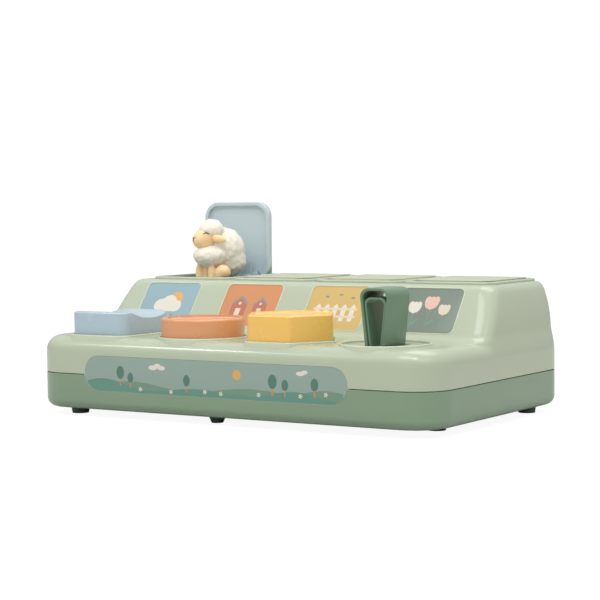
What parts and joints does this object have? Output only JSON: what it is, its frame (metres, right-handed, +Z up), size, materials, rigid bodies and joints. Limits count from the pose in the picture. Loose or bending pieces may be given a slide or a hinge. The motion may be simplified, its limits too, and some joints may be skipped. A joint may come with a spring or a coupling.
{
  "type": "pop-up animal toy",
  "caption": "Table-top toddler toy: slider, dial, push button and flip lever on a deck release sprung lids behind it, each lifting a farm animal.",
  "frame": {"origin": "on the table under the middle of the body", "axes": "+X to the right seen from the front, +Y to the rear, +Z up"},
  "size_m": [0.3, 0.186, 0.138],
  "materials": {
    "sage_shell": "satin",
    "dark_sage_shell": "satin",
    "blue_plastic": "satin",
    "orange_plastic": "satin",
    "yellow_plastic": "satin",
    "green_plastic": "satin",
    "grey_green_plastic": "satin",
    "printed_label": "printed film",
    "wool_white": "matt",
    "cow_cream": "matt",
    "pig_pink": "matt",
    "duck_yellow": "matt",
    "foot_rubber": "matt",
    "steel": "plain"
  },
  "bodies": {
    "housing": {"lower_shell": "dark_sage_shell", "upper_shell": "sage_shell", "rubber_feet": "foot_rubber", "case_screws": "steel", "front_plaque": "printed_label", "panel_label_1": "printed_label", "panel_label_2": "printed_label", "panel_label_3": "printed_label", "panel_label_4": "printed_label", "well_frame_1": "sage_shell", "well_frame_2": "sage_shell", "well_frame_3": "sage_shell", "well_frame_4": "sage_shell", "hinge_pins": "steel", "mechanism_plate": "grey_green_plastic", "plate_screws": "steel", "latch_rod": "steel", "lever_pin": "steel"},
    "lid_1": {"lid_cover_1": "sage_shell", "lid_tray_1": "blue_plastic", "lid_arm_1": "dark_sage_shell", "lid_spring_1": "steel", "sheep_figure": "wool_white"},
    "lid_2": {"lid_cover_2": "sage_shell", "lid_tray_2": "orange_plastic", "lid_arm_2": "dark_sage_shell", "lid_spring_2": "steel", "cow_figure": "cow_cream"},
    "lid_3": {"lid_cover_3": "sage_shell", "lid_tray_3": "yellow_plastic", "lid_arm_3": "dark_sage_shell", "lid_spring_3": "steel", "pig_figure": "pig_pink"},
    "lid_4": {"lid_cover_4": "sage_shell", "lid_tray_4": "grey_green_plastic", "lid_arm_4": "dark_sage_shell", "lid_spring_4": "steel", "duck_figure": "duck_yellow"},
    "latch_1_body": {"latch_1": "grey_green_plastic"},
    "latch_2_body": {"latch_2": "grey_green_plastic"},
    "latch_3_body": {"latch_3": "grey_green_plastic"},
    "latch_4_body": {"latch_4": "grey_green_plastic"},
    "slider": {"slider_block": "blue_plastic", "slider_shoe": "grey_green_plastic"},
    "dial_body": {"dial": "orange_plastic", "dial_cam": "grey_green_plastic"},
    "dial_rod": {"dial_pushrod": "grey_green_plastic"},
    "button": {"push_button": "yellow_plastic", "button_stem": "grey_green_plastic", "button_spring": "steel"},
    "lever": {"flip_lever": "green_plastic", "lever_core": "green_plastic"},
    "lever_rod": {"lever_pushrod": "grey_green_plastic"}
  },
  "joints": [
    {"name": "lid_1_hinge", "type": "hinge", "parent": "housing", "child": "lid_1", "pos_m": [-0.1005, 0.0756, 0.0826], "axis": [-1, 0, 0], "range_deg": [-90, 0], "stiffness_Nm_per_rad": 0.03, "springref_deg": 45.84},
    {"name": "lid_2_hinge", "type": "hinge", "parent": "housing", "child": "lid_2", "pos_m": [-0.0335, 0.0756, 0.0826], "axis": [-1, 0, 0], "range_deg": [0, 90]},
    {"name": "lid_3_hinge", "type": "hinge", "parent": "housing", "child": "lid_3", "pos_m": [0.0335, 0.0756, 0.0826], "axis": [-1, 0, 0], "range_deg": [0, 90]},
    {"name": "lid_4_hinge", "type": "hinge", "parent": "housing", "child": "lid_4", "pos_m": [0.1005, 0.0756, 0.0826], "axis": [-1, 0, 0], "range_deg": [0, 90]},
    {"name": "latch_1_rock", "type": "hinge", "parent": "housing", "child": "latch_1_body", "pos_m": [-0.1005, 0.0167, 0.07], "axis": [1, 0, 0], "range_deg": [0, 6]},
    {"name": "latch_2_rock", "type": "hinge", "parent": "housing", "child": "latch_2_body", "pos_m": [-0.0335, 0.0167, 0.07], "axis": [1, 0, 0], "range_deg": [0, 6]},
    {"name": "latch_3_rock", "type": "hinge", "parent": "housing", "child": "latch_3_body", "pos_m": [0.0335, 0.0167, 0.07], "axis": [1, 0, 0], "range_deg": [0, 6]},
    {"name": "latch_4_rock", "type": "hinge", "parent": "housing", "child": "latch_4_body", "pos_m": [0.1005, 0.0167, 0.07], "axis": [1, 0, 0], "range_deg": [0, 6]},
    {"name": "slider_slide", "type": "slide", "parent": "housing", "child": "slider", "axis": [0, 1, 0], "range_m": [0, 0.008], "stiffness_N_per_m": 120, "springref_m": -0.012},
    {"name": "dial_turn", "type": "hinge", "parent": "housing", "child": "dial_body", "pos_m": [-0.0335, -0.061, 0.06], "axis": [0, 0, -1], "range_deg": [0, 60], "stiffness_Nm_per_rad": 0.02, "springref_deg": -34.38},
    {"name": "dial_rod_slide", "type": "slide", "parent": "housing", "child": "dial_rod", "axis": [0, 1, 0], "range_m": [0, 0.0028]},
    {"name": "button_push", "type": "slide", "parent": "housing", "child": "button", "axis": [0, 0, -1], "range_m": [0, 0.005], "stiffness_N_per_m": 250, "springref_m": -0.01, "deforming": ["button_spring"]},
    {"name": "lever_tip", "type": "hinge", "parent": "housing", "child": "lever", "pos_m": [0.1005, -0.061, 0.0466], "axis": [0, 1, 0], "range_deg": [0, 22], "stiffness_Nm_per_rad": 0.04, "springref_deg": -34.38},
    {"name": "lever_rod_slide", "type": "slide", "parent": "housing", "child": "lever_rod", "axis": [0, 1, 0], "range_m": [0, 0.0028]}
  ],
  "couplings": [
    {"joint": "latch_1_rock", "follows": "slider_slide", "rad_per_m": 13.077},
    {"joint": "latch_2_rock", "follows": "dial_turn", "ratio": 0.0999},
    {"joint": "dial_rod_slide", "follows": "dial_turn", "m_per_rad": 0.002645},
    {"joint": "latch_3_rock", "follows": "button_push", "rad_per_m": 20.923},
    {"joint": "latch_4_rock", "follows": "lever_tip", "ratio": 0.2724},
    {"joint": "lever_rod_slide", "follows": "lever_tip", "m_per_rad": 0.007214}
  ]
}
